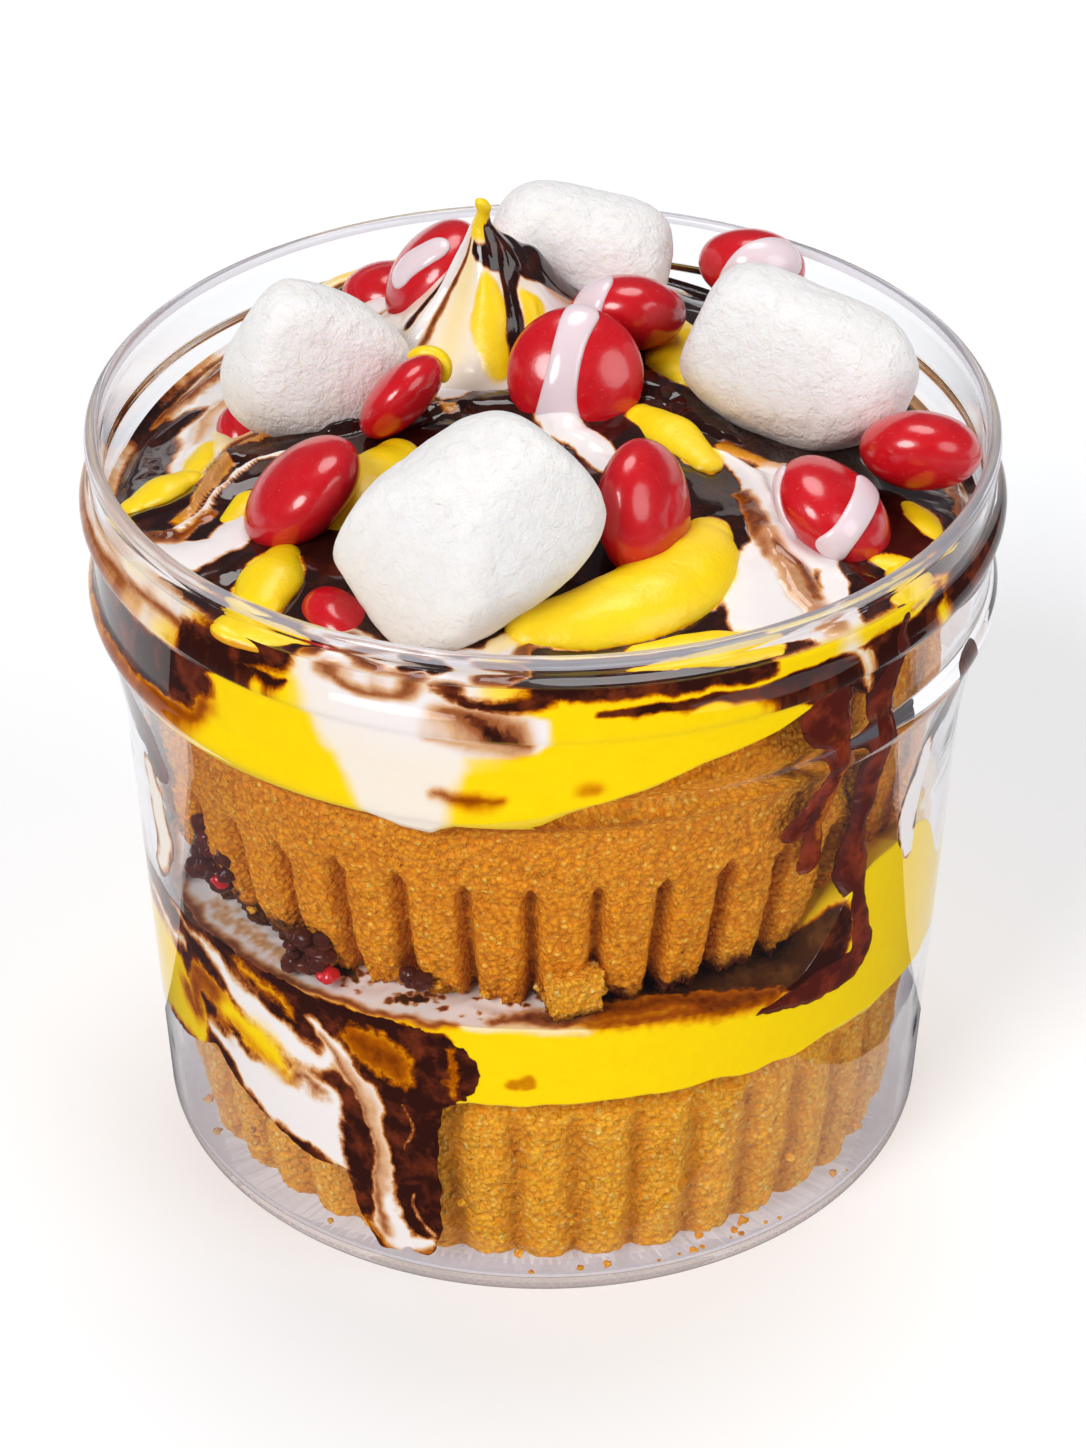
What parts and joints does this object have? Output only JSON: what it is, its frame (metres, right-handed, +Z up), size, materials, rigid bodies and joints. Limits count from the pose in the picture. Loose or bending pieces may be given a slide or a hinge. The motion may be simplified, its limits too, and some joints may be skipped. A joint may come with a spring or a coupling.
{
  "type": "cake in a jar",
  "caption": "Layered dessert in a clear screw-neck jar: fluted sponge cakes, custard and sauces, topped with marshmallows and sugar-coated sweets.",
  "frame": {"origin": "centre of the jar's underside", "axes": "+Z up through the jar, -Y its front, +X its right seen from the front"},
  "size_m": [0.089, 0.089, 0.0917],
  "materials": {
    "clear_plastic": "clear gloss",
    "sponge": "matt baked crumb",
    "custard": "satin",
    "milk": "wet gloss",
    "chocolate": "wet gloss",
    "marshmallow": "matt, powdery",
    "sugar_shell": "polished"
  },
  "bodies": {
    "root": {"jar": "clear_plastic", "lower_cake": "sponge", "upper_cake": "sponge", "cake_chunk": "sponge", "middle_custard": "custard", "milk_pool": "milk", "chocolate_pool": "chocolate", "marbled_run": "chocolate", "crown_custard": "custard", "marshmallow_front": "marshmallow", "marshmallow_left": "marshmallow", "marshmallow_right": "marshmallow", "marshmallow_back": "marshmallow", "sweet_01": "sugar_shell", "sweet_02": "sugar_shell", "sweet_03": "sugar_shell", "sweet_04": "sugar_shell", "sweet_05": "sugar_shell", "sweet_06": "sugar_shell", "sweet_07": "sugar_shell", "sweet_08": "sugar_shell", "sweet_09": "sugar_shell", "sweet_10": "sugar_shell", "sweet_11": "sugar_shell", "sweet_12": "sugar_shell"}
  },
  "joints": []
}
